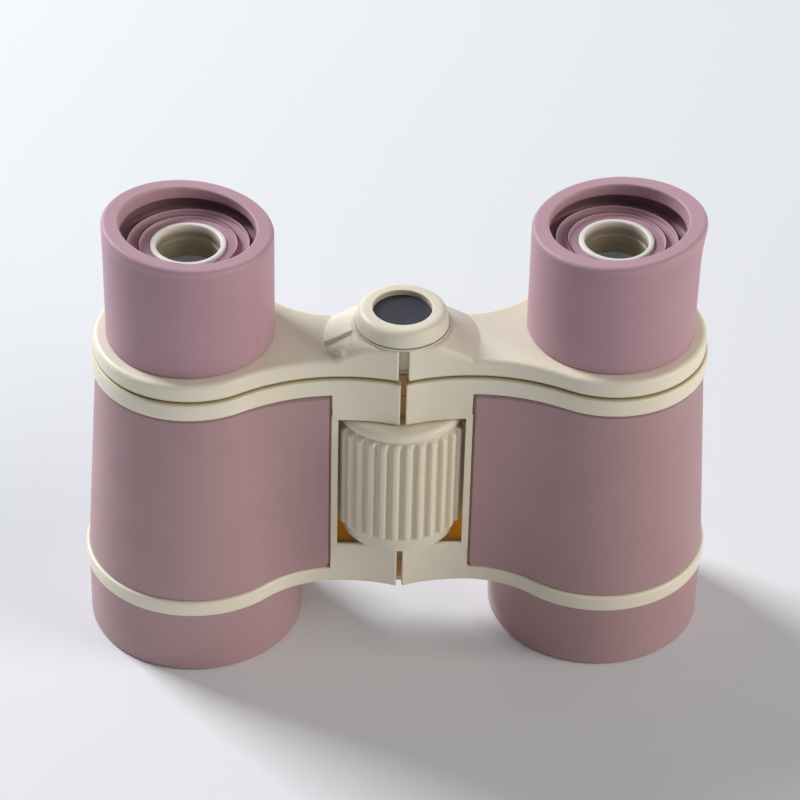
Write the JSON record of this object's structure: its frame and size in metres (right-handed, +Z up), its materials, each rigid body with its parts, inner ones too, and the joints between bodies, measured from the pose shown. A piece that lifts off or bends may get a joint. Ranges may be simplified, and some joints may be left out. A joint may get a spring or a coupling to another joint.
{
  "type": "toy binoculars",
  "caption": "Folding toy binoculars with rubber-clad barrels, slanted eyecups and a ribbed centre wheel that screws both eyepieces in and out.",
  "frame": {"origin": "on the floor under the middle of the toy, midway between the barrel axes, with the toy standing on its objective ends", "axes": "+Z up along the line of sight towards the eyepieces, +X from the left barrel to the right barrel, -Y the side the hinge stands nearer to"},
  "size_m": [0.1016, 0.0356, 0.0767],
  "materials": {
    "cream_plastic": "satin moulded plastic",
    "pink_rubber": "matt soft-touch rubber",
    "lens_glass": "clear polished",
    "steel": "turned",
    "nylon": "natural",
    "ink_disc": "satin inlay, bare"
  },
  "bodies": {
    "right_half": {"right_housing": "cream_plastic", "right_grip": "pink_rubber", "right_objective_sleeve": "pink_rubber", "right_objective_lens": "lens_glass", "right_lens_ring": "cream_plastic", "hinge_pin": "steel", "hinge_tube": "steel", "wheel_washer": "nylon"},
    "left_half": {"left_housing": "cream_plastic", "left_grip": "pink_rubber", "left_objective_sleeve": "pink_rubber", "left_objective_lens": "lens_glass", "left_lens_ring": "cream_plastic"},
    "wheel": {"focus_wheel": "cream_plastic"},
    "right_eyepiece": {"right_ocular_arm": "cream_plastic", "right_ocular_tube": "cream_plastic", "right_eye_lens": "lens_glass", "right_eye_lens_ring": "cream_plastic", "right_eyecup": "pink_rubber", "focus_screw": "steel", "hinge_cap": "cream_plastic", "cap_screw": "steel", "cap_disc": "ink_disc"},
    "left_eyepiece": {"left_ocular_arm": "cream_plastic", "left_ocular_tube": "cream_plastic", "left_eye_lens": "lens_glass", "left_eye_lens_ring": "cream_plastic", "left_eyecup": "pink_rubber"}
  },
  "joints": [
    {"name": "fold", "type": "hinge", "parent": "right_half", "child": "left_half", "pos_m": [0, -0.0028, 0.03], "axis": [0, 0, 1], "range_deg": [-40, 3.5]},
    {"name": "wheel_turn", "type": "hinge", "parent": "right_half", "child": "wheel", "pos_m": [0, -0.0028, 0.032], "axis": [0, 0, 1], "range_deg": [0, 360]},
    {"name": "right_focus", "type": "slide", "parent": "right_half", "child": "right_eyepiece", "axis": [0, 0, 1], "range_m": [0, 0.005]},
    {"name": "left_focus", "type": "slide", "parent": "left_half", "child": "left_eyepiece", "axis": [0, 0, 1], "range_m": [0, 0.005]}
  ],
  "couplings": [
    {"joint": "right_focus", "follows": "wheel_turn", "m_per_rad": 0.000795},
    {"joint": "left_focus", "follows": "wheel_turn", "m_per_rad": 0.000795}
  ]
}
